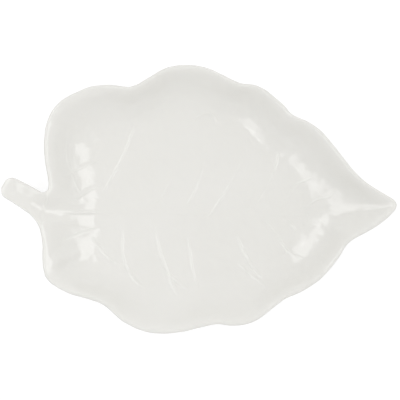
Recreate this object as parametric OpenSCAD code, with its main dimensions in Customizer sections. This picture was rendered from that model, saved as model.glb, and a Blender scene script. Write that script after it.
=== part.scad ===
// Leaf shaped serving plate of glazed white porcelain. A potter forms its pieces one by
// one and joins them with slip: the leaf dish, a stem handle, an unglazed foot ring, and
// the midrib and side veins in relief on the floor.
// The origin is on the table, under the middle of the plate's outline. The leaf's tip
// points along +X, its stem along -X, and +Z is up. Millimetres.

/* [Leaf dish] */
// Length of the leaf from its base lobes to its tip
leaf_length = 250; // [210:1:300]
// Width of the leaf across its widest lobes
leaf_width = 190; // [165:1:230]
// Height of the rim above the table
rim_height = 26; // [20:0.5:34]
// Thickness of the flat floor
floor_thickness = 4.5; // [3.5:0.1:6]
// Thickness of the rounded lip
lip_thickness = 3.2; // [2.4:0.1:4]

/* [Stem handle] */
// Length of the stem beyond its joint with the leaf
stem_length = 24; // [16:0.5:40]
// Width of the stem at its joint with the leaf
stem_root_width = 17.6; // [15:0.1:20]
// Width of the stem before its rounded end
stem_end_width = 15.8; // [12:0.1:19]
// Length of the stem's rounded end
stem_end_round = 6; // [4:0.5:8]
// Thickness of the stem along its middle
stem_thickness = 7.5; // [6.5:0.1:10]
// Depth of the channel along the top of the stem
stem_channel_depth = 2.6; // [1:0.1:3.4]
// Angle of the stem off the length of the leaf
stem_angle = 31; // [26:1:36]

/* [Foot ring] */
// Height of the foot ring
foot_height = 3; // [2:0.1:5]
// Width of the foot ring's flat face
foot_width = 4.5; // [3:0.1:7]
// Distance of the foot ring inside the edge of the floor
foot_inset = 12; // [6:0.5:18]

/* [Veins] */
// Width of the midrib at its widest
midrib_width = 5; // [3:0.1:8]
// Height of the midrib above the floor
midrib_height = 0.9; // [0.4:0.1:1.6]
// Width of a side vein
vein_width = 2.4; // [1.4:0.1:3.6]
// Height of a side vein above the floor
vein_height = 0.7; // [0.3:0.1:1.2]
// Gap between a side vein and the midrib
vein_clearance = 0.4; // [0.2:0.1:1.5]

/* [Smoothness] */
// Steps along each lobe of the rim
lobe_steps = 10; // [6:1:12]
// Steps up the wall
wall_steps = 12; // [6:1:14]
// Steps round the half of the lip
lip_steps = 4; // [2:1:5]

/* [Hidden] */

glaze_colour = "#edece6";
bisque_colour = "#d9d2c3";

// Straight part of the stem's sides that belongs to the leaf dish
neck_run = 3;
// How far the floor's edge bows out into the stem's channel
neck_bow = 4;

// Middle of the joint between leaf and stem
joint_share = [-0.028, 0.034];

// Rim of the leaf as seen from above, as shares of its length and width. It runs
// from the stem over the left side to the tip and back over the right side, with
// five points to each stretch.
rim_shares = [
    // Tight corner beside the stem
    [0.012, 0.073], [0.017, 0.093], [0.014, 0.135],
    // Left base lobe
    [0.006, 0.187], [0.004, 0.245], [0.008, 0.308], [0.023, 0.362], [0.051, 0.405],
    [0.087, 0.434], [0.129, 0.457], [0.172, 0.466], [0.211, 0.463], [0.235, 0.458],
    // Widest left lobe
    [0.252, 0.459], [0.293, 0.485], [0.343, 0.527], [0.411, 0.541], [0.481, 0.522],
    // Third left lobe
    [0.550, 0.473], [0.588, 0.469], [0.625, 0.451], [0.658, 0.416], [0.684, 0.387],
    // Fourth left lobe
    [0.702, 0.357], [0.737, 0.336], [0.774, 0.309], [0.805, 0.267], [0.833, 0.222],
    // Left side of the tip
    [0.860, 0.175], [0.895, 0.122], [0.937, 0.083], [0.974, 0.053], [0.993, 0.039],
    // Tip and its right side
    [1.000, 0.022], [0.994, 0.001], [0.972, -0.030], [0.940, -0.062], [0.900, -0.090],
    // Fourth right lobe
    [0.861, -0.123], [0.840, -0.167], [0.810, -0.221], [0.768, -0.272], [0.723, -0.307],
    // Third right lobe
    [0.681, -0.331], [0.653, -0.360], [0.619, -0.396], [0.577, -0.424], [0.529, -0.428],
    // Widest right lobe
    [0.487, -0.421], [0.425, -0.442], [0.355, -0.458], [0.281, -0.449], [0.219, -0.406],
    // Right base lobe
    [0.176, -0.353], [0.135, -0.331], [0.084, -0.313], [0.042, -0.287], [0.015, -0.259],
    // Wide corner beside the stem
    [0.003, -0.228], [0.000, -0.178], [0.000, -0.119], [-0.010, -0.054],
];

// Edge of the flat floor, with two points to each stretch of the rim
floor_shares = [
    [0.141, 0.022], [0.135, 0.059],
    [0.127, 0.119], [0.129, 0.197],
    [0.155, 0.267], [0.205, 0.316],
    [0.276, 0.345], [0.371, 0.379],
    [0.506, 0.367], [0.577, 0.330],
    [0.630, 0.271], [0.684, 0.204],
    [0.734, 0.134], [0.779, 0.052],
    [0.805, -0.022], [0.785, -0.071],
    [0.748, -0.122], [0.703, -0.174],
    [0.636, -0.226], [0.557, -0.267],
    [0.467, -0.293], [0.349, -0.308],
    [0.242, -0.282], [0.172, -0.230],
    [0.138, -0.163], [0.129, -0.097],
    [0.138, -0.037],
];

// Rise of the wall at even steps from the floor's edge to the lip: a hollow that
// turns outwards near the top
wall_shares = [0, 0.010, 0.045, 0.100, 0.180, 0.285, 0.420, 0.580, 0.755, 0.910, 1];

// Course of the midrib from the stem to the tip
midrib_shares = [[0.158, -0.007], [0.304, -0.011], [0.459, -0.017], [0.619, -0.022], [0.771, -0.022]];

// Side veins on the left: where each leaves the midrib, as a share of the midrib's
// run, then its course
left_vein_shares = [
    [0.01, [[0.174, 0.074], [0.197, 0.130], [0.217, 0.186], [0.236, 0.234], [0.250, 0.286]]],
    [0.20, [[0.310, 0.026], [0.335, 0.067], [0.363, 0.126], [0.383, 0.193], [0.397, 0.260], [0.405, 0.319]]],
    [0.36, [[0.405, 0.015], [0.419, 0.045], [0.433, 0.089], [0.450, 0.148], [0.467, 0.223], [0.481, 0.319]]],
    [0.50, [[0.490, 0.026], [0.509, 0.059], [0.532, 0.104], [0.557, 0.163], [0.582, 0.252]]],
    [0.68, [[0.599, 0.022], [0.625, 0.074], [0.644, 0.137], [0.661, 0.197]]],
    [0.84, [[0.698, 0.015], [0.718, 0.063], [0.729, 0.100]]],
];

// Side veins on the right, in the same form
right_vein_shares = [
    [0.08, [[0.222, -0.052], [0.225, -0.111], [0.228, -0.171], [0.239, -0.226], [0.264, -0.264]]],
    [0.24, [[0.318, -0.082], [0.329, -0.141], [0.343, -0.200], [0.369, -0.286]]],
    [0.38, [[0.411, -0.104], [0.416, -0.163], [0.422, -0.215], [0.436, -0.267]]],
    [0.58, [[0.543, -0.089], [0.560, -0.137], [0.580, -0.189], [0.608, -0.219]]],
    [0.76, [[0.653, -0.071], [0.681, -0.111], [0.703, -0.141]]],
];

// Short veins on the right that stand apart from the midrib
right_branch_shares = [
    [[0.146, -0.093], [0.163, -0.134], [0.186, -0.171], [0.214, -0.212]],
    [[0.363, -0.215], [0.380, -0.252], [0.414, -0.282]],
];

floor_top = foot_height + floor_thickness;
lip_radius = lip_thickness / 2;

// Points to a stretch of the rim and of the floor's edge
rim_pace = 5;
floor_pace = 2;

leaf_columns = (len(floor_shares) - 1) / floor_pace * lobe_steps;
neck_steps = 12;

// Position along the stem and across it
along = [cos(stem_angle), -sin(stem_angle)];
across = [sin(stem_angle), cos(stem_angle)];

function unit(v) = v / norm(v);
function mix(a, b, t) = a + (b - a) * t;
function ease(t) = let (c = max(0, min(1, t))) c * c * (3 - 2 * c);
function leaf_point(share) = [share.x * leaf_length, share.y * leaf_width];

// Point of a smooth curve through a row of points, at s counted in points
function spline(points, s) =
    let (
        last = len(points) - 1,
        i = min(floor(s), last - 1),
        t = s - i,
        a = points[max(i - 1, 0)],
        b = points[i],
        c = points[i + 1],
        d = points[min(i + 2, last)]
    )
    b + t / 2 * ((c - a) + t * ((2 * a - 5 * b + 4 * c - d) + t * (3 * b - 3 * c + d - a)));

// Spot at a share of the whole run of a curve
function spot(points, share) = spline(points, share * (len(points) - 1));

// Rise of the wall at a share of its run, and how steeply it rises there
function wall_rise(u) = spot(wall_shares, u);
function wall_slope(u) =
    let (reach_share = 0.01, low = max(0, u - reach_share), high = min(1, u + reach_share))
    (wall_rise(high) - wall_rise(low)) / (high - low);

// Cross section of the stem, for v from -1 at its right side to 1 at its left side
channel_share = 0.8;
function channel(v) = ease((channel_share - abs(v)) / channel_share);
function stem_top(v, fade = 1) = rim_height - stem_channel_depth * fade * channel(v);
function stem_under(v, fade = 1) =
    rim_height - lip_thickness - (stem_thickness - lip_thickness) * fade * (1 - v * v);

// How far the rounded edge drops at a distance inside the outline
function edge_drop(inside) =
    let (reach = max(0, lip_radius - inside))
    lip_radius - sqrt(max(0, lip_radius * lip_radius - reach * reach));

// Outline of the leaf and the inner guide lines of its wall, point by point
joint_centre = leaf_point(joint_share);
joint_left = joint_centre + across * stem_root_width / 2;
joint_right = joint_centre - across * stem_root_width / 2;
rim_points = concat(
    [joint_left, joint_left + along * neck_run],
    [for (share = rim_shares) leaf_point(share)],
    [joint_right + along * neck_run, joint_right]
);
floor_points = [for (share = floor_shares) leaf_point(share)];

leaf_rim = [for (k = [0:leaf_columns]) spline(rim_points, k * rim_pace / lobe_steps)];
leaf_foot = [for (k = [0:leaf_columns]) spline(floor_points, k * floor_pace / lobe_steps)];

function inward(k) = let (t = unit(leaf_rim[k + 1] - leaf_rim[k - 1])) [t.y, -t.x];
function leaf_crest(k) =
    leaf_rim[k] + lip_radius * (k == 0 ? along - across : k == leaf_columns ? along + across : inward(k));

// The neck closes the outline from the right side of the stem's joint to the left
neck_v = [for (k = [1:neck_steps - 1]) -cos(180 * k / neck_steps)];
inner_share = 1 - lip_thickness / stem_root_width;

rim_line = concat(leaf_rim, [for (v = neck_v) joint_centre + across * v * stem_root_width / 2]);
crest_line = concat(
    [for (k = [0:leaf_columns]) leaf_crest(k)],
    [for (v = neck_v) joint_centre + along * lip_radius + across * v * inner_share * stem_root_width / 2]
);
foot_line = concat(
    leaf_foot,
    [for (v = neck_v) mix(leaf_foot[leaf_columns], leaf_foot[0], (1 + v) / 2) - [neck_bow * (1 - v * v), 0]]
);

// Heights at the lip for the same columns: the crest and what lies under it, then
// the outer edge, which opens into the stem's cross section at the neck
leaf_range = [0:leaf_columns];
crest_z = concat([for (k = leaf_range) rim_height], [for (v = neck_v) stem_top(v * inner_share)]);
under_z = concat(
    [for (k = leaf_range) rim_height - lip_thickness],
    [for (v = neck_v) stem_under(v * inner_share)]
);
neck_drops = [for (v = neck_v) edge_drop((1 - abs(v)) * stem_root_width / 2)];
edge_top_z = concat(
    [for (k = leaf_range) rim_height - lip_radius],
    [for (k = [0:neck_steps - 2]) stem_top(neck_v[k]) - neck_drops[k]]
);
edge_under_z = concat(
    [for (k = leaf_range) rim_height - lip_radius],
    [for (k = [0:neck_steps - 2]) stem_under(neck_v[k]) + neck_drops[k]]
);

column_range = [0:len(rim_line) - 1];

// Rows of points over the dish, from the floor up to the lip and back underneath
function top_row(u) = [
    for (c = column_range)
        let (p = mix(foot_line[c], crest_line[c], u))
        [p.x, p.y, mix(floor_top, crest_z[c], wall_rise(u))]
];
lip_fade = 8;
function under_row(u) = [
    for (c = column_range)
        let (
            p = mix(foot_line[c], crest_line[c], u),
            slope = (crest_z[c] - floor_top) * wall_slope(u) / norm(crest_line[c] - foot_line[c]),
            steep = slope * (1 - pow(u, lip_fade)),
            thickness = mix(floor_thickness, crest_z[c] - under_z[c], u)
        )
        [p.x, p.y, mix(floor_top, crest_z[c], wall_rise(u)) - thickness * sqrt(1 + steep * steep)]
];
function edge_row(angle, from_z, to_z) = [
    for (c = column_range)
        let (p = mix(crest_line[c], rim_line[c], sin(angle)))
        [p.x, p.y, mix(from_z[c], to_z[c], 1 - cos(angle))]
];

dish_rows = concat(
    [for (k = [0:wall_steps]) top_row(k / wall_steps)],
    [for (k = [1:lip_steps]) edge_row(90 * k / lip_steps, crest_z, edge_top_z)],
    [for (k = [lip_steps:-1:1]) edge_row(90 * k / lip_steps, under_z, edge_under_z)],
    [for (k = [wall_steps:-1:0]) under_row(k / wall_steps)]
);

// Ring sections of the stem from its joint to its rounded end. At a distance from
// the end, the stem narrows and thins as a rounded tongue does.
stem_body_steps = 8;
stem_end_steps = 8;
stem_end_angle = 80;
stem_end_power = 2.6;
stem_distances = concat(
    [for (k = [0:stem_body_steps - 1]) mix(stem_length, stem_end_round, k / stem_body_steps)],
    [for (k = [0:stem_end_steps]) stem_end_round * (1 - sin(stem_end_angle * k / stem_end_steps))]
);
function end_share(distance) = max(0, 1 - distance / stem_end_round);
function stem_half_width(distance) =
    mix(stem_end_width, stem_root_width, distance / stem_length) / 2
    * pow(1 - pow(end_share(distance), stem_end_power), 1 / stem_end_power);
section_v = [for (k = [0:neck_steps]) -cos(180 * k / neck_steps)];
function stem_ring(distance) =
    let (
        half = stem_half_width(distance),
        fade = ease((distance - lip_thickness) / stem_end_round),
        centre = joint_centre - along * (stem_length - distance)
    )
    concat(
        [for (k = [0:neck_steps]) stem_spot(centre, half, distance, section_v[k], stem_top(section_v[k], fade), -1)],
        [
            for (k = [neck_steps - 1:-1:1])
                stem_spot(centre, half, distance, section_v[k], stem_under(section_v[k], fade), 1)
        ]
    );
function stem_spot(centre, half, distance, v, z, inwards) =
    let (
        p = centre + across * v * half,
        drop = max(edge_drop((1 - abs(v)) * half), edge_drop(distance))
    )
    [p.x, p.y, z + inwards * drop];

// Middle of the whole outline, leaf and stem together
stem_rings = [for (distance = stem_distances) stem_ring(distance)];
outline = concat(rim_line, [for (ring = stem_rings) each [for (p = ring) [p.x, p.y]]]);
outline_x = [for (p = outline) p.x];
outline_y = [for (p = outline) p.y];
to_origin = -[(min(outline_x) + max(outline_x)) / 2, (min(outline_y) + max(outline_y)) / 2, 0];

// Closed skin over a stack of rings, which all have the same number of points and
// run anticlockwise as seen from the last ring
module skin(rings) {
    sides = len(rings[0]);
    last = len(rings) - 1;
    polyhedron(
        points = [for (ring = rings) for (p = ring) p + to_origin],
        faces = concat(
            [[for (i = [0:sides - 1]) i]],
            [
                for (r = [0:last - 1], i = [0:sides - 1])
                    let (
                        a = r * sides + i,
                        b = r * sides + (i + 1) % sides
                    )
                    each [[a, a + sides, b], [b, a + sides, b + sides]]
            ],
            [[for (i = [sides - 1:-1:0]) last * sides + i]]
        ),
        convexity = 6
    );
}

// A vein is a half round ridge on the floor that thins out towards its end
vein_sides = 8;
vein_steps = 14;
vein_thin_share = 0.45;
vein_tip_share = 0.12;
vein_end_power = 6;
function ridge_size(s) =
    mix(1, vein_thin_share, s)
    * mix(vein_tip_share, 1, sqrt(1 - pow(abs(2 * s - 1), vein_end_power)));

module ridge(points, width, height) {
    step_share = 0.5 / vein_steps;
    skin([
        for (k = [0:vein_steps])
            let (
                s = k / vein_steps,
                p = spot(points, s),
                t = unit(spot(points, min(1, s + step_share)) - spot(points, max(0, s - step_share))),
                size = ridge_size(s)
            )
            [
                for (j = [0:vein_sides])
                    let (
                        side = cos(180 * j / vein_sides) * width / 2 * size,
                        rise = sin(180 * j / vein_sides) * height * size
                    )
                    [p.x - t.y * side, p.y + t.x * side, floor_top + rise]
            ]
    ]);
}

midrib_points = [for (share = midrib_shares) leaf_point(share)];

// Side veins that leave the midrib on one side, 1 for the left and -1 for the right
module side_veins(vein_shares, side) {
    for (vein = vein_shares) {
        root = spot(midrib_points, vein[0]) + [0, side * (midrib_width / 2 + vein_clearance)];
        ridge(concat([root], [for (share = vein[1]) leaf_point(share)]), vein_width, vein_height);
    }
}

module leaf_dish() {
    columns = len(rim_line);
    last = len(dish_rows) - 1;
    // The two halves of the lip meet along the rim, and part only at the neck
    top_edge = wall_steps + lip_steps;
    function at(row, column) =
        let (c = column % columns)
        (row == top_edge + 1 && c <= leaf_columns ? top_edge : row) * columns + c;
    color(glaze_colour)
        polyhedron(
            points = [for (row = dish_rows) for (p = row) p + to_origin],
            faces = concat(
                [[for (c = column_range) c]],
                [
                    for (r = [0:last - 1], c = column_range)
                        let (
                            a = at(r, c),
                            b = at(r, c + 1),
                            d = at(r + 1, c),
                            e = at(r + 1, c + 1)
                        )
                        each [
                            for (face = [[a, d, b], [b, d, e]])
                                if (face[0] != face[1] && face[1] != face[2] && face[2] != face[0]) face
                        ]
                ],
                [[for (c = [columns - 1:-1:0]) last * columns + c]]
            ),
            convexity = 8
        );
}

module stem_handle() {
    color(glaze_colour) skin(stem_rings);
}

module foot_ring() {
    color(bisque_colour)
        translate(to_origin)
            linear_extrude(foot_height)
                difference() {
                    offset(delta = -foot_inset) polygon(foot_line);
                    offset(delta = -foot_inset - foot_width) polygon(foot_line);
                }
}

module midrib() {
    color(glaze_colour) ridge(midrib_points, midrib_width, midrib_height);
}

module side_veins_left() {
    color(glaze_colour) side_veins(left_vein_shares, 1);
}

module side_veins_right() {
    color(glaze_colour) {
        side_veins(right_vein_shares, -1);
        for (branch = right_branch_shares)
            ridge([for (share = branch) leaf_point(share)], vein_width, vein_height);
    }
}

leaf_dish();
stem_handle();
foot_ring();
midrib();
side_veins_left();
side_veins_right();
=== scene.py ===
import math

import bmesh
import bpy
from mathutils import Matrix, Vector
from mathutils.bvhtree import BVHTree


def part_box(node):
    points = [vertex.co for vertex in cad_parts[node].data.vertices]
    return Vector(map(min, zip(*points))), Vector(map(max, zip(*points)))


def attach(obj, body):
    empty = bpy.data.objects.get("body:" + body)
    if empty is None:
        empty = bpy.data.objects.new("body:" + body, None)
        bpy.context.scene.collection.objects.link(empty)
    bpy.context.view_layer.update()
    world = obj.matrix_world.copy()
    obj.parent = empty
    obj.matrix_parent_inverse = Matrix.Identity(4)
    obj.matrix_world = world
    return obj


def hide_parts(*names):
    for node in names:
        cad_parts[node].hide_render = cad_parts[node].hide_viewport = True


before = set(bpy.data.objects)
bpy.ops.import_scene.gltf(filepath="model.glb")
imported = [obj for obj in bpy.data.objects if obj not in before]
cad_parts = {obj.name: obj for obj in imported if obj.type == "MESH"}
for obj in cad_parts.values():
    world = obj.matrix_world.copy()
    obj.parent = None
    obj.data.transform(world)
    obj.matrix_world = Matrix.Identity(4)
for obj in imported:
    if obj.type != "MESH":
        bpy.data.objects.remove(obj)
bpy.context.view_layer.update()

# Leaf shaped plate of glazed white porcelain, seen from straight above on a white table.
# Metres throughout. The leaf's tip points along +X and its stem along -X.

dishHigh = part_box("leaf_dish")[1]
footLow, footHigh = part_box("foot_ring")
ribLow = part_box("midrib")[0]
print("frame loaded:", sorted(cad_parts))

mm = 0.001
scene = bpy.context.scene


# shapes of curves

pointStep = 0.05                 # a curve's direction is taken this far to each side, in points
shareStep = 0.01                 # or this far, as a share of its length


def mix(a, b, t):
    return a + (b - a) * t


def ease(t):
    t = max(0.0, min(1.0, t))
    return t * t * (3 - 2 * t)


# smooth curve through all its points, at s counted in points
def curveAt(points, s):
    last = len(points) - 1
    i = min(int(s), last - 1)
    t = s - i
    a, b, c, d = points[max(i - 1, 0)], points[i], points[i + 1], points[min(i + 2, last)]
    return b + 0.5 * t * ((c - a) + t * ((2 * a - 5 * b + 4 * c - d) + t * (3 * b - 3 * c + d - a)))


# where such a curve is heading at s
def runAt(points, s):
    return curveAt(points, min(s + pointStep, len(points) - 1)) - curveAt(points, max(s - pointStep, 0))


def curveShare(points, share):
    return curveAt(points, share * (len(points) - 1))


# how fast such a curve moves on at a share of its length
def runShare(points, share):
    low, high = max(0.0, share - shareStep), min(1.0, share + shareStep)
    return (curveShare(points, high) - curveShare(points, low)) / (high - low)


# modelling by hand: selections and extrusions

def deselectAll():
    for other in bpy.context.selected_objects:
        other.select_set(False)


def makeActive(piece):
    deselectAll()
    piece.select_set(True)
    bpy.context.view_layer.objects.active = piece


def openMesh(piece):
    makeActive(piece)
    bpy.ops.object.mode_set(mode="EDIT")


def closeMesh():
    bpy.ops.object.mode_set(mode="OBJECT")


def selectEdges(piece, wanted):
    bpy.ops.mesh.select_mode(type="EDGE")
    bpy.ops.mesh.select_all(action="DESELECT")
    mesh = bmesh.from_edit_mesh(piece.data)
    for edge in mesh.edges:
        if wanted(edge):
            edge.select_set(True)
    bmesh.update_edit_mesh(piece.data)


def selectFaces(piece, wanted):
    bpy.ops.mesh.select_mode(type="FACE")
    bpy.ops.mesh.select_all(action="DESELECT")
    mesh = bmesh.from_edit_mesh(piece.data)
    for face in mesh.faces:
        if wanted(face):
            face.select_set(True)
    bmesh.update_edit_mesh(piece.data)


def turnOutwards():
    bpy.ops.mesh.select_all(action="SELECT")
    bpy.ops.mesh.normals_make_consistent(inside=False)


# the selection is extruded, and each of its points goes from its old place to its new one
def extrudeTo(piece, oldPlaces, newPlaces):
    bpy.ops.mesh.extrude_region()
    mesh = bmesh.from_edit_mesh(piece.data)
    waiting = [v for v in mesh.verts if v.select]
    for old, new in zip(oldPlaces, newPlaces):
        nearest = min(waiting, key=lambda v: (v.co - old).length_squared)
        waiting.remove(nearest)
        nearest.co = new
    bmesh.update_edit_mesh(piece.data)


# a circle is laid on a ring of places, and then drawn out over the further rings
def drawOut(piece, rings):
    for vertex, place in zip(piece.data.vertices, reversed(rings[0])):
        vertex.co = place
    openMesh(piece)
    bpy.ops.mesh.select_all(action="SELECT")
    for old, new in zip(rings, rings[1:]):
        extrudeTo(piece, old, new)


def applyModifier(piece, kind, **settings):
    makeActive(piece)
    modifier = piece.modifiers.new(kind.title(), kind)
    for key, value in settings.items():
        setattr(modifier, key, value)
    bpy.ops.object.modifier_apply(modifier=modifier.name)


def finishMesh(piece, name, node):
    piece.name = name
    piece.data.name = name
    makeActive(piece)
    bpy.ops.object.transform_apply(location=True, rotation=True, scale=True)
    for polygon in piece.data.polygons:
        polygon.use_smooth = True
    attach(piece, "root")
    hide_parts(node)
    print(name, "faces:", len(piece.data.polygons))


# the dish and its stem, formed in one run and then parted at the joint

leaf = {
    "length": 250 * mm,          # base lobes to tip
    "width": 190 * mm,
    "lip": 3.2 * mm,             # thickness of the rounded lip
    "floor": 4.5 * mm,           # thickness of the floor
    "columnsPerPoint": 2,        # cage columns to each rim point
    "smoothing": 2,              # times that the cage is subdivided
    "cageSwell": 1.1,            # how much fuller the lip's cage is, as this draws it in
    "lipFade": 8,                # how close to the lip the wall's slope stops thickening it
    "underReach": 0.1,           # share of the wall by which the flat underside is the wider
    "floorStart": 0.8,           # floor point, counted from 0, that the first rim point looks at
    "floorPace": 0.4,            # floor points to each rim point
    "fillShift": 4,              # columns that the filled floor's first side is short of a quarter
    "valleyWall": 0.72,          # slope of the wall that stands on the right of the tip's valley
    "valleyPoints": 8,           # rim points beyond the tip that this wall reaches
    "valleyStart": 0.4,          # share of the valley over which it grows to its slope
    "valleyDrop": 0.2 * mm,      # it stays under the lip's height, by this much at its foot
    "valleyCrease": 0.75,
    "waver": 0.6 * mm,           # unevenness of the hand-finished clay, with the size of its
    "waverSpan": 9 * mm,         # waves and the number of times that finer ones join them
    "waverDepth": 1,
}

stem = {
    "length": 24 * mm,
    "rootWidth": 17.6 * mm,
    "endWidth": 15.8 * mm,
    "thickness": 7.5 * mm,
    "endThickness": 3.84 * mm,
    "endDepth": 0.7 * mm,        # depth of the channel at the rounded end, the joint and the neck
    "jointDepth": 1.9 * mm,
    "neckDepth": 4.4 * mm,
    "neckThickness": 8.8 * mm,
    "neckRun": 3 * mm,           # from the joint to the one section within the neck
    "runDepth": 0.6,             # how far this section has gone from the neck's sizes to the joint's
    "runThickness": 0.5,
    "endRound": 7 * mm,
    "endSquare": 2.6,            # how square the rounded end is from above, where 2 is an ellipse
    "endLeast": 0.42,            # its last section's share of the width
    "rollRun": 3 * mm,           # length over which the end's edge rolls over
    "rollLeast": 0.35,           # the last section's share of the thickness
    "bodyRun": 10.5 * mm,        # length over which the stem gets its full thickness
    "bodyStart": 0.15,           # share of it that counts as passed at the end's very edge
    "sideRound": 0.3,            # how far the corners of a section come in, in radii of the lip
    "channelMiddle": -0.1,       # where the channel is deepest, from -1 at the right to 1 at the left
    "channelEdge": 0.85,         # share of the way from there to each side at which it ends
    "channelReach": 1.6,         # how far its own rise applies, in half widths of the neck
    "neckSpread": 2.5,           # rim points beside the neck that count as half its width
    "angle": math.radians(31),   # between the stem and the leaf's length
    "jointShares": (-0.028, 0.034),    # the joint's middle, as shares of length and width
    "jointSlack": 0.1 * mm,      # points up to this far inside the joint are still the stem's
    "intervals": 8,              # cage columns across the neck
    "stations": (24, 20, 16, 12, 9, 7, 5, 3.2, 1.6, 0.5, 0),    # sections, in mm from the end
}

# the rim from above, as shares of length and width: from the tight corner beside the stem
# over the left lobes to the tip, and back over the right lobes to the wide corner
rimShares = [
    (0.012, 0.073), (0.017, 0.093), (0.014, 0.135),
    (0.006, 0.187), (0.004, 0.245), (0.008, 0.308), (0.023, 0.362), (0.051, 0.405),
    (0.087, 0.434), (0.129, 0.457), (0.172, 0.466), (0.211, 0.463), (0.235, 0.458),
    (0.252, 0.459), (0.293, 0.485), (0.343, 0.527), (0.411, 0.541), (0.481, 0.522),
    (0.550, 0.473), (0.588, 0.469), (0.625, 0.451), (0.658, 0.416), (0.684, 0.387),
    (0.702, 0.357), (0.737, 0.336), (0.774, 0.309), (0.805, 0.267), (0.833, 0.222),
    (0.860, 0.175), (0.895, 0.122), (0.937, 0.083), (0.974, 0.053), (0.994, 0.036),
    (0.9995, 0.015), (0.991, -0.005), (0.972, -0.030), (0.940, -0.062), (0.900, -0.090),
    (0.861, -0.123), (0.840, -0.167), (0.810, -0.221), (0.768, -0.272), (0.723, -0.307),
    (0.681, -0.331), (0.653, -0.360), (0.619, -0.396), (0.577, -0.424), (0.529, -0.428),
    (0.487, -0.421), (0.425, -0.442), (0.355, -0.458), (0.281, -0.449), (0.219, -0.406),
    (0.176, -0.353), (0.135, -0.331), (0.084, -0.313), (0.042, -0.287), (0.015, -0.259),
    (0.003, -0.228), (0.000, -0.178), (0.000, -0.119), (-0.010, -0.054),
]
tipPoint = 33                    # rim point at the tip
widestShare = max(y for x, y in rimShares)

# where the hollow wall starts to leave the flat floor, in the same direction
floorShares = [
    (0.177, 0.015), (0.174, 0.048), (0.164, 0.104), (0.154, 0.171), (0.172, 0.230), (0.220, 0.275),
    (0.290, 0.315), (0.377, 0.352), (0.487, 0.344), (0.560, 0.301), (0.605, 0.232), (0.680, 0.172),
    (0.712, 0.128), (0.732, 0.058), (0.754, -0.037), (0.724, -0.068), (0.711, -0.106), (0.684, -0.150),
    (0.624, -0.192), (0.546, -0.224), (0.461, -0.245), (0.355, -0.260), (0.259, -0.234), (0.203, -0.193),
    (0.174, -0.141), (0.166, -0.085), (0.174, -0.037),
]

# rise of the wall at even steps from the floor to the lip: on most of the leaf, along the tip's
# valley, in a gentle hollow, under a wide lip, and where the stem's channel runs down
wallRise = [0, 0.012, 0.05, 0.105, 0.18, 0.275, 0.395, 0.545, 0.72, 0.895, 1]
tipRise = [0, 0.05, 0.125, 0.215, 0.315, 0.42, 0.53, 0.645, 0.765, 0.885, 1]
hollowRise = [0, 0.03, 0.075, 0.125, 0.18, 0.245, 0.345, 0.49, 0.68, 0.88, 1]
flareRise = [0, 0.015, 0.06, 0.125, 0.215, 0.335, 0.49, 0.67, 0.84, 0.94, 1]
channelRise = [0, 0.02, 0.075, 0.165, 0.285, 0.42, 0.55, 0.67, 0.785, 0.895, 1]

# where on the leaf another rise takes over: its middle, and its reach to each side, in rim points
riseZones = [
    (tipRise, 33.4, 1.75),
    (hollowRise, 29.5, 2.2),
    (hollowRise, 37.0, 3.0),
    (flareRise, 58.6, 0.9),      # the lower left lobe
]

# rows of the cage: shares of the way from the floor to the lip and from underneath back to the
# floor, and between them degrees round the lip
topSteps = [0, 0.08, 0.16, 0.24, 0.33, 0.42, 0.51, 0.60, 0.69, 0.78, 0.86, 0.92, 0.965, 1]
underSteps = [0.90, 0.80, 0.69, 0.57, 0.45, 0.33, 0.21, 0.10, 0]
lipAngles = [45, 90, 135]
lipBottom = 180
creaseSteps = topSteps[3:-1]     # rows that the crease of the valley runs over

# the cage's rows round the stem, as shares from its top to its underside, and at its sides
bodyRows = (0.0, 0.5, 1.0)
sideRows = (0.15, 0.5, 0.85)

same = 0.001 * mm                # points nearer than this are one
lipRadius = leaf["lip"] / 2
rimZ, floorZ = dishHigh.z, ribLow.z
leafOrigin = Vector((dishHigh.x - leaf["length"], dishHigh.y - widestShare * leaf["width"]))


def leafPoint(share):
    return leafOrigin + Vector((share[0] * leaf["length"], share[1] * leaf["width"]))


rimGuide = [leafPoint(share) for share in rimShares]
floorGuide = [leafPoint(share) for share in floorShares]
lastPoint = len(rimGuide) - 1
stemAlong = Vector((math.cos(stem["angle"]), -math.sin(stem["angle"])))
stemAcross = Vector((math.sin(stem["angle"]), math.cos(stem["angle"])))
jointCentre = leafPoint(stem["jointShares"])


# cross section of the stem: v runs from -1 at its right side to 1 at its left side
def channelShare(v):
    middle = stem["channelMiddle"]
    side = (v - middle) / (1 + middle if v < middle else 1 - middle)
    return ease((stem["channelEdge"] - abs(side)) / stem["channelEdge"])


def sectionTop(v, depth):
    return rimZ - depth * channelShare(v)


def sectionUnder(v, thickness):
    return rimZ - leaf["lip"] - (thickness - leaf["lip"]) * (1 - v * v)


neckV = [-math.cos(math.pi * k / stem["intervals"]) for k in range(stem["intervals"] + 1)]
leafCount = lastPoint * leaf["columnsPerPoint"] + 1


def blendRise(rise, other, weight):
    return [mix(a, b, weight) for a, b in zip(rise, other)]


# how far the channel's own rise applies, at v across the neck and beyond its edges
def channelWeight(v):
    return ease(1 - abs(v - stem["channelMiddle"]) / stem["channelReach"])


# the wall's rise at a rim point
def riseAt(s):
    rise = wallRise
    for other, middle, reach in riseZones:
        rise = blendRise(rise, other, ease(1 - abs(s - middle) / reach))
    beside = 1 + s / stem["neckSpread"] if s < tipPoint else -1 - (lastPoint - s) / stem["neckSpread"]
    return blendRise(rise, channelRise, channelWeight(beside))


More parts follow.
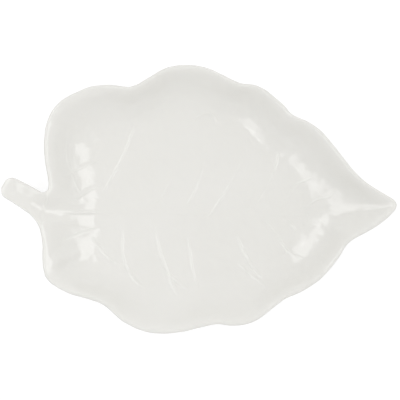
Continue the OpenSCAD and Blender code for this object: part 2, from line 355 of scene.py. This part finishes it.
# one column for each place round the leaf, and then across the neck
def leafColumns():
    columns = []
    for k in range(leafCount):
        s = k / leaf["columnsPerPoint"]
        here, run = curveAt(rimGuide, s), runAt(rimGuide, s)
        columns.append({
            "rim": here,
            "foot": curveAt(floorGuide, leaf["floorStart"] + s * leaf["floorPace"]),
            "crest": here + Vector((run.y, -run.x)).normalized() * lipRadius,
            "top": rimZ,
            "under": rimZ - leaf["lip"],
            "rise": riseAt(s),
            "onValley": 0 < s - tipPoint < leaf["valleyPoints"],
        })
    first, last = columns[0], columns[-1]
    for v in neckV[1:-1]:
        t = (1 + v) / 2
        across = mix(last["rim"], first["rim"], t)
        columns.append({
            "rim": across,
            "foot": mix(last["foot"], first["foot"], t),
            "crest": across + stemAlong * lipRadius,
            "top": sectionTop(v, stem["neckDepth"]),
            "under": sectionUnder(v, stem["neckThickness"]),
            "rise": blendRise(wallRise, channelRise, channelWeight(v)),
            "onValley": False,
        })
    return columns


columns = leafColumns()
tipColumn = tipPoint * leaf["columnsPerPoint"]
valley = columns[tipColumn]


def plainHeight(column, u):
    return mix(floorZ, column["top"], curveShare(column["rise"], u))


# the wall on the right of the tip's valley meets it in a crease
def wallHeight(column, u):
    height = plainHeight(column, u)
    if column["onValley"]:
        run = valley["crest"] - valley["foot"]
        away = mix(column["foot"], column["crest"], u) - valley["foot"]
        t = away.dot(run) / run.length_squared
        if 0 < t < 1:
            aside = abs(away.cross(run)) / run.length
            wall = plainHeight(valley, t) + aside * leaf["valleyWall"] * ease(t / leaf["valleyStart"])
            height = max(height, min(wall, rimZ - leaf["valleyDrop"] * (1 - u)))
    return height


def topRow(u):
    places = []
    for c in columns:
        p = mix(c["foot"], c["crest"], u)
        places.append(Vector((p.x, p.y, wallHeight(c, u))))
    return places


def underRow(u):
    places = []
    for c in columns:
        foot = mix(c["foot"], c["crest"], leaf["underReach"])
        p = mix(foot, c["crest"], u)
        slope = (c["top"] - floorZ) * runShare(c["rise"], u) / (c["crest"] - c["foot"]).length
        steep = slope * (1 - u ** leaf["lipFade"])
        thickness = mix(leaf["floor"], c["top"] - c["under"], u) * math.sqrt(1 + steep * steep)
        places.append(Vector((p.x, p.y, plainHeight(c, u) - thickness)))
    return places


# the lip's half round at an angle from its crest, or the joint's face at the neck
def lipRow(degrees):
    angle = math.radians(degrees)
    places = []
    for c in columns:
        p = mix(c["crest"], c["rim"], math.sin(angle) * leaf["cageSwell"])
        down = (1 - math.cos(angle)) / 2
        places.append(Vector((p.x, p.y, mix(c["top"], c["under"], down))))
    return places


def formDish():
    deselectAll()
    bpy.ops.mesh.primitive_circle_add(vertices=len(columns), radius=leaf["length"] / 2)
    dish = bpy.context.object
    rings = [topRow(u) for u in topSteps]
    rings += [lipRow(angle) for angle in [*lipAngles, lipBottom]]
    rings += [underRow(u) for u in underSteps]
    drawOut(dish, rings)
    # the flat bottom, and then the floor, are filled with a grid
    span = len(columns) // 4 - leaf["fillShift"]
    bpy.ops.mesh.fill_grid(span=span)
    selectEdges(dish, lambda e: e.is_boundary)
    bpy.ops.mesh.fill_grid(span=span)
    turnOutwards()
    return dish


# the stem's sections run from the leaf's open neck, through the joint, to the rounded end
def stemSection(centre, half, depth, thickness, squeeze=1.0):
    places = []
    for bodyRow, sideRow in zip(bodyRows, sideRows):
        for v in neckV:
            atSide = v in (neckV[0], neckV[-1])
            inset = stem["sideRound"] * lipRadius if atSide and sideRow != bodyRow else 0
            p = centre + stemAcross * (half - inset) * v
            z = mix(sectionTop(v, depth), sectionUnder(v, thickness), sideRow if atSide else bodyRow)
            places.append(Vector((p.x, p.y, mix(rimZ - lipRadius, z, squeeze))))
    return places


def neckSection():
    centre = jointCentre + stemAlong * stem["neckRun"]
    depth = mix(stem["neckDepth"], stem["jointDepth"], stem["runDepth"])
    thickness = mix(stem["neckThickness"], stem["thickness"], stem["runThickness"])
    return stemSection(centre, stem["rootWidth"] / 2, depth, thickness)


# the section at a distance from the rounded end
def bodySection(distance):
    centre = jointCentre - stemAlong * (stem["length"] - distance)
    end = max(0.0, 1 - distance / stem["endRound"])
    along = distance / stem["length"]
    half = mix(stem["endWidth"], stem["rootWidth"], along) / 2
    half *= max(stem["endLeast"], (1 - end ** stem["endSquare"]) ** (1 / stem["endSquare"]))
    fade = ease((distance - leaf["lip"]) / stem["endRound"])
    depth = mix(stem["endDepth"], stem["jointDepth"], along) * fade
    body = ease(distance / stem["bodyRun"] + stem["bodyStart"])
    thickness = mix(stem["endThickness"], stem["thickness"], body)
    roll = min(1.0, distance / stem["rollRun"])
    squeeze = max(stem["rollLeast"], math.sqrt(1 - (1 - roll) ** 2))
    return stemSection(centre, half, depth, thickness, squeeze)


def formStem(dish):
    neckColumns = [leafCount - 1, *range(leafCount, len(columns)), 0]
    ring = [row[c] for row in map(lipRow, lipAngles) for c in neckColumns]
    selectFaces(dish, lambda face: all(min((v.co - p).length for p in ring) < same for v in face.verts))
    for section in [neckSection(), *[bodySection(station * mm) for station in stem["stations"]]]:
        extrudeTo(dish, ring, section)
        ring = section
    closeMesh()


# the crease along the valley keeps its edge through the subdivision
def creaseValley(dish):
    line = [topRow(u)[tipColumn] for u in creaseSteps]
    onLine = {v.index for v in dish.data.vertices if min((v.co - p).length for p in line) < same}
    crease = dish.data.attributes.new("crease_edge", "FLOAT", "EDGE")
    for edge in dish.data.edges:
        if set(edge.vertices) <= onLine:
            crease.data[edge.index].value = leaf["valleyCrease"]


def beyondJoint(place):
    offset = place.xy - jointCentre
    return offset.dot(stemAlong) < stem["jointSlack"] and abs(offset.dot(stemAcross)) < stem["rootWidth"]


# two blank slots tell the faces of the dish from those of the stem, until they are parted
def markStem(dish):
    for faces in ("dishFaces", "stemFaces"):
        dish.data.materials.append(bpy.data.materials.new(faces))
    for polygon in dish.data.polygons:
        corners = [dish.data.vertices[i].co for i in polygon.vertices]
        polygon.material_index = 1 if all(beyondJoint(corner) for corner in corners) else 0


def partStem(dish):
    openMesh(dish)
    selectFaces(dish, lambda face: face.material_index == 1)
    bpy.ops.mesh.separate(type="SELECTED")
    closeMesh()
    handle = [o for o in bpy.context.selected_objects if o != dish][0]
    for piece in (dish, handle):
        openMesh(piece)
        selectEdges(piece, lambda e: e.is_boundary)
        bpy.ops.mesh.mark_sharp()
        bpy.ops.mesh.fill()
        turnOutwards()
        closeMesh()
    return handle


dish = formDish()
formStem(dish)
creaseValley(dish)
markStem(dish)
print("cage:", len(dish.data.vertices), "points,", len(dish.data.polygons), "faces")
applyModifier(dish, "SUBSURF", levels=leaf["smoothing"], render_levels=leaf["smoothing"])
clay = bpy.data.textures.new("clay", "CLOUDS")
clay.noise_scale = leaf["waverSpan"]
clay.noise_depth = leaf["waverDepth"]
applyModifier(dish, "DISPLACE", texture=clay, strength=leaf["waver"], texture_coords="LOCAL")
handle = partStem(dish)
finishMesh(dish, "leafDish", "leaf_dish")
finishMesh(handle, "stemHandle", "stem_handle")
surface = BVHTree.FromObject(dish, bpy.context.evaluated_depsgraph_get())


# veins: strips of soft relief laid along their courses on the finished dish

vein = {
    "width": 3.2 * mm,           # where its strength is 1
    "height": 0.34 * mm,
    "ribWidth": 3.8 * mm,
    "foldWidth": 5.4 * mm,       # the short broad folds beside the stem
    "foldHeight": 0.40 * mm,
    "foldLean": 0.45,            # how far the crest of a fold lies to its left
    "wideFoldWidth": 8.5 * mm,   # the one on the stem's right, which leans the other way
    "wideFoldLean": -0.65,
    "keen": 0.85,                # how sharp the crests of the rib and the folds are
    "taper": 0.7,                # a strip's share of its width where its strength is 0
    "sink": 0.12 * mm,           # the strip's edges lie this far under the glaze
    "sinkPower": 6,              # how close to its edges the strip starts to sink
    "sinkStrength": 0.2,         # all of it sinks where its strength is below this
    "body": 0.5 * mm,            # how far the strip's underside lies below its upper side
    "step": 1.6 * mm,            # between two stations along a course
    "leastSteps": 8,
    "across": 10,                # faces across a strip
}

# the midrib's course from stem to tip, and the side veins' from it outwards, as shares of
# length and width with the relief's strength there
ribCourse = [
    (0.050, -0.007, 0.0), (0.075, -0.008, 1.0), (0.097, -0.008, 2.0), (0.130, -0.008, 2.1),
    (0.162, -0.008, 0.8), (0.190, -0.008, 0.25), (0.219, -0.008, 0.18), (0.304, -0.011, 0.17),
    (0.459, -0.017, 0.17), (0.619, -0.020, 0.17), (0.732, -0.019, 0.2), (0.820, -0.006, 0.0),
]
leftCourses = [
    [(0.129, 0.015, 0.0), (0.113, 0.048, 0.25), (0.096, 0.089, 0.3), (0.082, 0.137, 0.3),
     (0.070, 0.189, 0.3), (0.067, 0.238, 0.3), (0.074, 0.275, 0.0)],
    [(0.160, 0.020, 0.0), (0.170, 0.062, 0.2), (0.180, 0.092, 0.45), (0.197, 0.133, 0.55),
     (0.214, 0.174, 0.5), (0.231, 0.219, 0.45), (0.245, 0.267, 0.65), (0.256, 0.312, 0.2),
     (0.264, 0.353, 0.0)],
    [(0.270, -0.004, 0.0), (0.304, 0.019, 0.2), (0.332, 0.045, 0.25), (0.357, 0.100, 0.25),
     (0.377, 0.170, 0.15), (0.391, 0.250, 0.15), (0.400, 0.320, 0.0)],
    [(0.366, -0.007, 0.0), (0.400, 0.011, 0.2), (0.419, 0.045, 0.35), (0.436, 0.093, 0.4),
     (0.450, 0.148, 0.2), (0.464, 0.223, 0.2), (0.476, 0.297, 0.0)],
    [(0.430, 0.330, 0.0), (0.440, 0.350, 0.6), (0.462, 0.362, 0.8), (0.484, 0.345, 0.8),
     (0.493, 0.310, 0.0)],
    [(0.445, -0.030, 0.0), (0.472, -0.016, 0.5), (0.495, 0.026, 0.7), (0.515, 0.067, 0.6),
     (0.540, 0.119, 0.2), (0.563, 0.178, 0.2), (0.582, 0.238, 0.0)],
    [(0.546, -0.015, 0.0), (0.585, 0.004, 0.2), (0.611, 0.041, 0.2), (0.633, 0.089, 0.2),
     (0.653, 0.141, 0.3), (0.663, 0.185, 0.9), (0.668, 0.220, 0.0)],
    [(0.636, -0.015, 0.0), (0.667, 0.004, 0.2), (0.689, 0.037, 0.2), (0.703, 0.071, 0.25),
     (0.720, 0.097, 0.4), (0.743, 0.111, 0.5), (0.768, 0.126, 0.0)],
    [(0.698, -0.015, 0.0), (0.732, 0.000, 0.2), (0.757, 0.022, 0.25), (0.779, 0.041, 0.4),
     (0.805, 0.048, 0.4), (0.836, 0.071, 0.0)],
]
rightCourses = [
    [(0.117, -0.065, 0.0), (0.134, -0.093, 0.7), (0.153, -0.129, 1.1), (0.178, -0.168, 0.9),
     (0.202, -0.194, 0.35), (0.233, -0.223, 0.2), (0.262, -0.252, 0.0)],
    [(0.186, -0.015, 0.0), (0.211, -0.033, 0.1), (0.224, -0.071, 0.25), (0.225, -0.119, 0.55),
     (0.225, -0.163, 0.8), (0.234, -0.208, 1.0), (0.248, -0.240, 1.2), (0.262, -0.262, 1.6),
     (0.285, -0.290, 0.0)],
    [(0.281, -0.019, 0.0), (0.307, -0.045, 0.15), (0.321, -0.093, 0.4), (0.329, -0.141, 0.8),
     (0.340, -0.189, 1.1), (0.355, -0.241, 1.3), (0.369, -0.286, 1.4), (0.383, -0.323, 0.0)],
    [(0.349, -0.219, 0.0), (0.366, -0.249, 1.4), (0.388, -0.275, 1.9), (0.416, -0.297, 0.0)],
    [(0.371, -0.022, 0.0), (0.397, -0.052, 0.1), (0.411, -0.104, 0.2), (0.417, -0.160, 0.5),
     (0.422, -0.212, 0.8), (0.431, -0.260, 0.5), (0.442, -0.304, 0.0)],
    [(0.501, -0.022, 0.0), (0.532, -0.060, 0.1), (0.552, -0.105, 0.3), (0.566, -0.148, 0.9),
     (0.582, -0.190, 1.1), (0.602, -0.228, 1.0), (0.625, -0.256, 0.0)],
    [(0.550, -0.192, 0.0), (0.571, -0.219, 1.3), (0.591, -0.242, 1.3), (0.613, -0.264, 0.7),
     (0.632, -0.290, 0.0)],
    [(0.599, -0.022, 0.0), (0.630, -0.045, 0.2), (0.653, -0.078, 0.2), (0.672, -0.111, 0.3),
     (0.692, -0.150, 0.6), (0.714, -0.168, 0.6), (0.746, -0.182, 0.0)],
    [(0.664, -0.022, 0.0), (0.689, -0.033, 0.3), (0.706, -0.056, 0.9), (0.720, -0.085, 0.0)],
]

# the folds by the stem, which cross the hollow wall
leftFolds = [
    [(0.172, 0.103, 0.0), (0.150, 0.092, 0.6), (0.122, 0.074, 1.0), (0.096, 0.052, 1.0),
     (0.068, 0.041, 0.0)],
    [(0.165, 0.190, 0.0), (0.140, 0.182, 0.5), (0.112, 0.166, 0.7), (0.084, 0.148, 0.6),
     (0.050, 0.119, 0.0)],
]
rightFolds = [
    [(0.165, -0.077, 0.0), (0.142, -0.090, 1.6), (0.115, -0.104, 2.2), (0.088, -0.116, 1.5),
     (0.055, -0.132, 0.0)],
]


def glazeHeight(place):
    return surface.ray_cast(Vector((place.x, place.y, rimZ + leaf["lip"])), Vector((0, 0, -1)))[0].z


# share of a strip's full height at v, from -1 at its right edge to 1 at its left one
def reliefAt(v, keen, lean):
    flank = (v - lean) / (1 - lean if v > lean else 1 + lean)
    return mix(math.cos(flank * math.pi / 2) ** 2, (1 - abs(flank)) ** 2, keen)


def layVein(course, width, height, keen=0.0, lean=0.0):
    points = [Vector((*leafPoint(point), point[2])) for point in course]
    reach = sum((b - a).xy.length for a, b in zip(points, points[1:]))
    steps = max(vein["leastSteps"], round(reach / vein["step"]))
    deselectAll()
    bpy.ops.mesh.primitive_grid_add(x_subdivisions=steps, y_subdivisions=vein["across"], size=1)
    strip = bpy.context.object
    # the grid is one metre square, so its points give their shares along and across the strip
    for vertex in strip.data.vertices:
        t, v = vertex.co.x + 0.5, 2 * vertex.co.y
        here, run = curveShare(points, t), runShare(points, t)
        side = Vector((-run.y, run.x)).normalized()
        strength = max(0.0, here.z)
        place = here.xy + side * v * width / 2 * mix(vein["taper"], 1, strength)
        relief = height * strength * reliefAt(v, keen, lean)
        sink = vein["sink"] * max(abs(v) ** vein["sinkPower"], 1 - strength / vein["sinkStrength"])
        vertex.co = Vector((place.x, place.y, glazeHeight(place) + relief - sink))
    openMesh(strip)
    selectEdges(strip, lambda e: e.is_boundary)
    bpy.ops.mesh.mark_sharp()
    bpy.ops.mesh.select_all(action="SELECT")
    bpy.ops.mesh.extrude_region_move(TRANSFORM_OT_translate={"value": (0, 0, -vein["body"])})
    turnOutwards()
    closeMesh()
    return strip


def layVeins(courses, folds, foldWidth, foldLean):
    strips = [layVein(course, vein["width"], vein["height"]) for course in courses]
    for course in folds:
        strips.append(layVein(course, foldWidth, vein["foldHeight"], vein["keen"], foldLean))
    return strips


def layGroup(strips, name, node):
    makeActive(strips[0])
    for strip in strips[1:]:
        strip.select_set(True)
    bpy.ops.object.join()
    finishMesh(strips[0], name, node)
    return strips[0]


midrib = layVein(ribCourse, vein["ribWidth"], vein["height"], vein["keen"])
finishMesh(midrib, "midribRidge", "midrib")
leftStrips = layVeins(leftCourses, leftFolds, vein["foldWidth"], vein["foldLean"])
rightStrips = layVeins(rightCourses, rightFolds, vein["wideFoldWidth"], vein["wideFoldLean"])
veinsLeft = layGroup(leftStrips, "sideVeinsLeft", "side_veins_left")
veinsRight = layGroup(rightStrips, "sideVeinsRight", "side_veins_right")


# foot ring: bare clay under the floor, wiped clean of glaze

foot = {
    "inset": 2 * mm,             # from the course below to the ring's outer side
    "width": 4.5 * mm,
    "batter": 0.5 * mm,          # how far each side leans in towards the table
    "waist": 0.4,                # share of the way down at which it has leant in by half
    "round": 0.9 * mm,
    "corner": 0.3,               # where the rounding's middle is, as a share of it from the corner
    "seat": 0.9 * mm,            # how far the ring goes up into the dish
    "columns": 108,
    "smoothing": 1,
}

# its course, just inside the edge of the flat underside, as shares of length and width
footShares = [
    (0.177, 0.015), (0.174, 0.048), (0.166, 0.104), (0.166, 0.171), (0.186, 0.230), (0.228, 0.275),
    (0.290, 0.301), (0.377, 0.327), (0.492, 0.319), (0.557, 0.286), (0.605, 0.234), (0.656, 0.171),
    (0.701, 0.108), (0.740, 0.041), (0.760, -0.019), (0.743, -0.059), (0.712, -0.100), (0.672, -0.141),
    (0.613, -0.186), (0.543, -0.223), (0.461, -0.245), (0.355, -0.260), (0.259, -0.234), (0.203, -0.193),
    (0.174, -0.141), (0.166, -0.085), (0.174, -0.037),
]
footGuide = [leafPoint(share) for share in footShares]
footLoop = [footGuide[-1], *footGuide, footGuide[0], footGuide[1]]


def footPlace(k, inset):
    s = 1 + k / foot["columns"] * len(footGuide)
    run = runAt(footLoop, s)
    return curveAt(footLoop, s) + Vector((run.y, -run.x)).normalized() * inset


# the ring's section, from its outer side at the dish down to the table and up its inner side
def footProfile():
    low, high = footLow.z, footHigh.z + foot["seat"]
    outer, inner = foot["inset"], foot["inset"] + foot["width"]
    batter, turn = foot["batter"], foot["round"]
    corner = turn * foot["corner"]
    side = [
        (0, high), (batter / 2, mix(high, low, foot["waist"])), (batter, low + turn),
        (batter + corner, low + corner), (batter + turn, low),
    ]
    outside = [(outer + x, z) for x, z in side]
    inside = [(inner - x, z) for x, z in reversed(side)]
    return outside + [((outer + inner) / 2, low)] + inside


def formFoot():
    deselectAll()
    bpy.ops.mesh.primitive_circle_add(vertices=foot["columns"], radius=leaf["width"] / 2)
    ring = bpy.context.object
    places = range(foot["columns"])
    drawOut(ring, [[Vector((*footPlace(k, inset), z)) for k in places] for inset, z in footProfile()])
    selectEdges(ring, lambda e: e.is_boundary)
    bpy.ops.mesh.bridge_edge_loops()
    turnOutwards()
    closeMesh()
    applyModifier(ring, "SUBSURF", levels=foot["smoothing"], render_levels=foot["smoothing"])
    finishMesh(ring, "footRing", "foot_ring")
    return ring


footRing = formFoot()


# materials

def linear(hexColour):
    channels = [int(hexColour[i:i + 2], 16) / 255 for i in (1, 3, 5)]
    return [c / 12.92 if c <= 0.04045 else ((c + 0.055) / 1.055) ** 2.4 for c in channels] + [1.0]


# sockets holds, for each input by name or number, a value or another node's output
def addNode(tree, kind, sockets=None, **settings):
    node = tree.nodes.new(kind)
    for key, value in settings.items():
        setattr(node, key, value)
    for socket, value in (sockets or {}).items():
        if isinstance(value, bpy.types.NodeSocket):
            tree.links.new(value, node.inputs[socket])
        else:
            node.inputs[socket].default_value = value
    return node


def newMaterial(name):
    material = bpy.data.materials.new(name)
    material.use_nodes = True
    material.node_tree.nodes.clear()
    return material, material.node_tree


# white porcelain under a clear glossy glaze: an even warm white that pools a little greyer,
# with the soft orange peel of a fired glaze in its reflections
glazeLook = {
    "thin": "#ecebe7",
    "pooled": "#e8e7e2",
    "poolSpan": 45.455 * mm,     # size of a pool, and how finely it breaks up
    "poolDetail": 3,
    "peelSpan": 3.8462 * mm,     # the same of a dimple of the peel
    "peelDetail": 2,
    "roughness": (0.07, 0.13),   # where it is thin and where it pools
    "ior": 1.5,
    "peel": 0.05,
    "peelDepth": 0.2 * mm,
}


def glazedPorcelain():
    material, tree = newMaterial("glazedPorcelain")
    place = addNode(tree, "ShaderNodeTexCoord").outputs["Object"]
    pools = addNode(tree, "ShaderNodeTexNoise", {
        "Vector": place, "Scale": 1 / glazeLook["poolSpan"], "Detail": glazeLook["poolDetail"],
    }).outputs["Fac"]
    peel = addNode(tree, "ShaderNodeTexNoise", {
        "Vector": place, "Scale": 1 / glazeLook["peelSpan"], "Detail": glazeLook["peelDetail"],
    }).outputs["Fac"]
    colour = addNode(tree, "ShaderNodeMix", {
        0: pools, 6: linear(glazeLook["thin"]), 7: linear(glazeLook["pooled"]),
    }, data_type="RGBA").outputs[2]
    rough = addNode(tree, "ShaderNodeMapRange", {
        "Value": pools, "To Min": glazeLook["roughness"][0], "To Max": glazeLook["roughness"][1],
    }).outputs[0]
    bump = addNode(tree, "ShaderNodeBump", {
        "Height": peel, "Strength": glazeLook["peel"], "Distance": glazeLook["peelDepth"],
    }).outputs[0]
    shader = addNode(tree, "ShaderNodeBsdfPrincipled", {
        "Base Color": colour, "Roughness": rough, "Normal": bump, "IOR": glazeLook["ior"],
    }).outputs[0]
    addNode(tree, "ShaderNodeOutputMaterial", {"Surface": shader})
    return material


# bare fired clay of the foot: matt, warmer and finely gritty, with glaze down to a wavering line
bisqueLook = {
    "clay": "#ddd6c8",
    "grit": "#c9bfae",
    "glaze": "#e9e8e3",
    "gritSpan": 0.5556 * mm,     # between two grains, and how finely these break up
    "gritDetail": 4,
    "roughness": 0.85,
    "gritBump": 0.3,
    "gritDepth": 0.1 * mm,
    "lineHeight": 1.9 * mm,      # of the glaze's lower edge, which comes down by up to its waver
    "lineWaver": 0.5 * mm,
    "lineSoft": 0.15 * mm,
    "waverSpan": 16.667 * mm,
}


def bareFoot():
    material, tree = newMaterial("bisqueFoot")
    place = addNode(tree, "ShaderNodeTexCoord").outputs["Object"]
    height = addNode(tree, "ShaderNodeSeparateXYZ", {0: place}).outputs["Z"]
    grit = addNode(tree, "ShaderNodeTexNoise", {
        "Vector": place, "Scale": 1 / bisqueLook["gritSpan"], "Detail": bisqueLook["gritDetail"],
    }).outputs["Fac"]
    waver = addNode(tree, "ShaderNodeTexNoise", {
        "Vector": place, "Scale": 1 / bisqueLook["waverSpan"],
    }).outputs["Fac"]
    line = addNode(tree, "ShaderNodeMath", {
        0: waver, 1: bisqueLook["lineWaver"], 2: height,
    }, operation="MULTIPLY_ADD").outputs[0]
    glazed = addNode(tree, "ShaderNodeMapRange", {
        "Value": line, "From Min": bisqueLook["lineHeight"],
        "From Max": bisqueLook["lineHeight"] + bisqueLook["lineSoft"],
    }).outputs[0]
    clay = addNode(tree, "ShaderNodeMix", {
        0: grit, 6: linear(bisqueLook["clay"]), 7: linear(bisqueLook["grit"]),
    }, data_type="RGBA").outputs[2]
    colour = addNode(tree, "ShaderNodeMix", {
        0: glazed, 6: clay, 7: linear(bisqueLook["glaze"]),
    }, data_type="RGBA").outputs[2]
    rough = addNode(tree, "ShaderNodeMapRange", {
        "Value": glazed, "To Min": bisqueLook["roughness"], "To Max": glazeLook["roughness"][0],
    }).outputs[0]
    bump = addNode(tree, "ShaderNodeBump", {
        "Height": grit, "Strength": bisqueLook["gritBump"], "Distance": bisqueLook["gritDepth"],
    }).outputs[0]
    shader = addNode(tree, "ShaderNodeBsdfPrincipled", {
        "Base Color": colour, "Roughness": rough, "Normal": bump,
    }).outputs[0]
    addNode(tree, "ShaderNodeOutputMaterial", {"Surface": shader})
    return material


def dress(piece, material):
    piece.data.materials.clear()
    piece.data.materials.append(material)


glaze, bisque = glazedPorcelain(), bareFoot()
for piece in (dish, handle, midrib, veinsLeft, veinsRight):
    dress(piece, glaze)
dress(footRing, bisque)
for name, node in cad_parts.items():
    node.data.materials.clear()
    node.data.materials.append(bisque if name == "foot_ring" else glaze)
print("pieces dressed")


# table, lamps and camera

table = {
    "size": 8,
    "colour": "#e6e6e6",         # as the light meets it
    "seenColour": "#959595",     # as the camera and the glaze's reflections see it, with its glow
    "seenGlow": 0.8,
}


# matt white table that looks a clean white and keeps the plate's shadow
def tableTop():
    material, tree = newMaterial("whiteTable")
    plain = addNode(tree, "ShaderNodeBsdfDiffuse", {"Color": linear(table["colour"])}).outputs[0]
    seen = addNode(tree, "ShaderNodeBsdfDiffuse", {"Color": linear(table["seenColour"])}).outputs[0]
    glow = addNode(tree, "ShaderNodeEmission", {"Strength": table["seenGlow"]}).outputs[0]
    bright = addNode(tree, "ShaderNodeAddShader", {0: seen, 1: glow}).outputs[0]
    path = addNode(tree, "ShaderNodeLightPath").outputs
    direct = path["Is Camera Ray"]
    for ray in (path["Is Glossy Ray"], path["Is Transmission Ray"]):
        direct = addNode(tree, "ShaderNodeMath", {0: direct, 1: ray}, operation="MAXIMUM").outputs[0]
    chosen = addNode(tree, "ShaderNodeMixShader", {0: direct, 1: plain, 2: bright}).outputs[0]
    addNode(tree, "ShaderNodeOutputMaterial", {"Surface": chosen})
    deselectAll()
    bpy.ops.mesh.primitive_plane_add(size=table["size"], location=(0, 0, 0))
    top = bpy.context.object
    top.name = "tableTop"
    top.data.materials.append(material)


# each lamp hangs where its zenith and azimuth point, facing the plate; angles are in degrees
# and power is in watts
lamps = {
    "windowLeft": {"zenith": 33, "azimuth": 180, "tall": 36, "wide": 30, "power": 5.2},
    "softboxFar": {"zenith": 40, "azimuth": 141, "tall": 24, "wide": 17, "power": 2.2},
    "softboxNear": {"zenith": 27, "azimuth": 224, "tall": 22, "wide": 9, "power": 0.88},
    "softboxRight": {"zenith": 31, "azimuth": 0, "tall": 28, "wide": 25, "power": 3.8},
}
lampDistance = 1.6

# the soft light from all round, and how much stronger it is from straight above, from the
# right, from the far side, and from the far and near sides alike
dome = {"level": 0.957, "top": -0.38, "right": 0.235, "far": 0.065, "sides": 0.27}


def hangLamp(name, zenith, azimuth, tall, wide, power):
    data = bpy.data.lights.new(name, "AREA")
    data.shape = "RECTANGLE"
    data.size = 2 * lampDistance * math.tan(math.radians(wide / 2))
    data.size_y = 2 * lampDistance * math.tan(math.radians(tall / 2))
    data.energy = power
    lamp = bpy.data.objects.new(name, data)
    scene.collection.objects.link(lamp)
    z, a = math.radians(zenith), math.radians(azimuth)
    away = Vector((math.sin(z) * math.cos(a), math.sin(z) * math.sin(a), math.cos(z)))
    lamp.location = away * lampDistance
    lamp.rotation_euler = away.to_track_quat("Z", "Y").to_euler()
    lamp.visible_camera = False


def studioWorld():
    world = bpy.data.worlds.new("studio")
    scene.world = world
    world.use_nodes = True
    tree = world.node_tree
    tree.nodes.clear()
    place = addNode(tree, "ShaderNodeTexCoord").outputs["Generated"]
    split = addNode(tree, "ShaderNodeSeparateXYZ", {0: place}).outputs
    steep = addNode(tree, "ShaderNodeMath", {0: split["Z"]}, operation="ABSOLUTE").outputs[0]
    aside = addNode(tree, "ShaderNodeMath", {0: split["Y"], 1: split["Y"]}, operation="MULTIPLY").outputs[0]
    light = dome["level"]
    for key, source in (("top", steep), ("right", split["X"]), ("far", split["Y"]), ("sides", aside)):
        term = addNode(tree, "ShaderNodeMath", {0: source, 1: dome[key], 2: light}, operation="MULTIPLY_ADD")
        light = term.outputs[0]
    path = addNode(tree, "ShaderNodeLightPath").outputs
    direct = addNode(tree, "ShaderNodeMath", {
        0: path["Is Camera Ray"], 1: path["Is Glossy Ray"],
    }, operation="MAXIMUM").outputs[0]
    soft = addNode(tree, "ShaderNodeBackground", {"Strength": light}).outputs[0]
    white = addNode(tree, "ShaderNodeBackground", {"Strength": 1}).outputs[0]
    chosen = addNode(tree, "ShaderNodeMixShader", {0: direct, 1: soft, 2: white}).outputs[0]
    addNode(tree, "ShaderNodeOutputWorld", {"Surface": chosen})


tableTop()
for name, settings in lamps.items():
    hangLamp(name, **settings)
studioWorld()

# a long lens, straight above the plate
camera = {
    "height": 2.5,               # above the rim
    "viewWidth": 0.2817,         # the stretch that it sees at the rim's height
    "aim": (0.8 * mm, -0.6 * mm),
    "sensor": 36,                # width of its film, in mm
    "reach": 20,                 # how far away it still sees
}
lens = bpy.data.cameras.new("overhead")
lens.sensor_width = camera["sensor"]
lens.lens = camera["sensor"] * camera["height"] / camera["viewWidth"]
lens.clip_end = camera["reach"]
eye = bpy.data.objects.new("overhead", lens)
scene.collection.objects.link(eye)
eye.location = (*camera["aim"], camera["height"] + rimZ)
scene.camera = eye
scene.view_settings.view_transform = "Standard"
print("stage ready")
